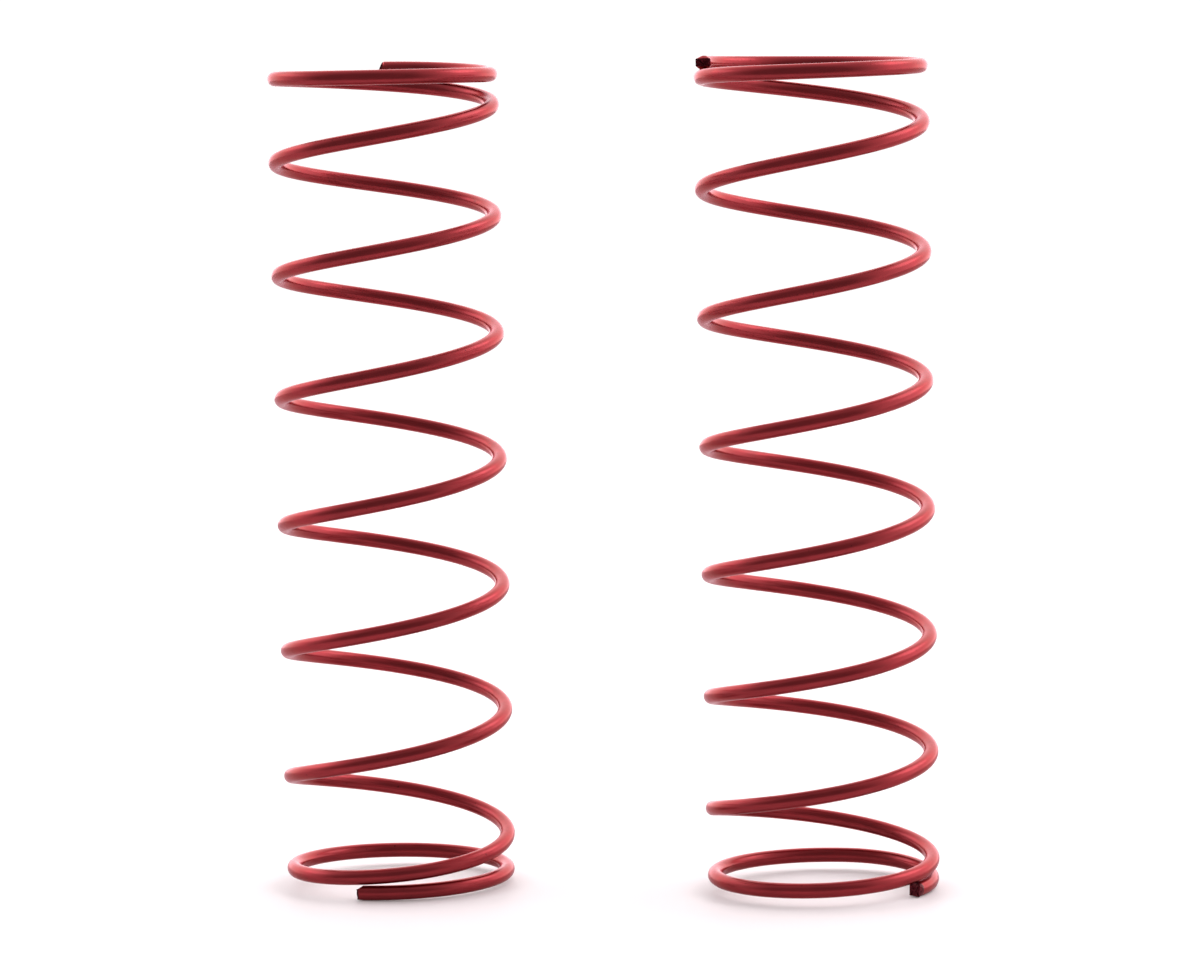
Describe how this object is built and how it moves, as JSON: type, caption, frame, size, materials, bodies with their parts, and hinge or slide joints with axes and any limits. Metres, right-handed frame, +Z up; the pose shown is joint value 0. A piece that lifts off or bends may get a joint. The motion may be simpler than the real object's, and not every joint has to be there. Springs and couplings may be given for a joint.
{
  "type": "pair of compression springs",
  "caption": "Matched pair of long helical compression springs in red-coated round wire, with closed unground ends, each pressed along its own upright axis.",
  "frame": {"origin": "on the surface that the springs stand on, midway between their two axes", "axes": "+Z up along both springs' axes, +X from the left spring to the right spring, +Y away from the viewer"},
  "size_m": [0.066, 0.0232, 0.0823],
  "materials": {
    "red_coat": "gloss metallic red coat on steel spring wire"
  },
  "bodies": {
    "left_lower": {"left_lower_end_coil": "red_coat", "left_active_coils": "red_coat"},
    "left_upper": {"left_upper_end_coil": "red_coat"},
    "right_lower": {"right_lower_end_coil": "red_coat", "right_active_coils": "red_coat"},
    "right_upper": {"right_upper_end_coil": "red_coat"}
  },
  "joints": [
    {"name": "left_compression", "type": "slide", "parent": "left_lower", "child": "left_upper", "axis": [0, 0, -1], "range_m": [0, 0.067], "stiffness_N_per_m": 719, "deforming": ["left_active_coils"]},
    {"name": "right_lift", "type": "slide", "parent": "left_lower", "child": "right_lower", "axis": [0, 0, 1], "range_m": [0, 0.03]},
    {"name": "right_compression", "type": "slide", "parent": "right_lower", "child": "right_upper", "axis": [0, 0, -1], "range_m": [0, 0.067], "stiffness_N_per_m": 719, "deforming": ["right_active_coils"]}
  ]
}
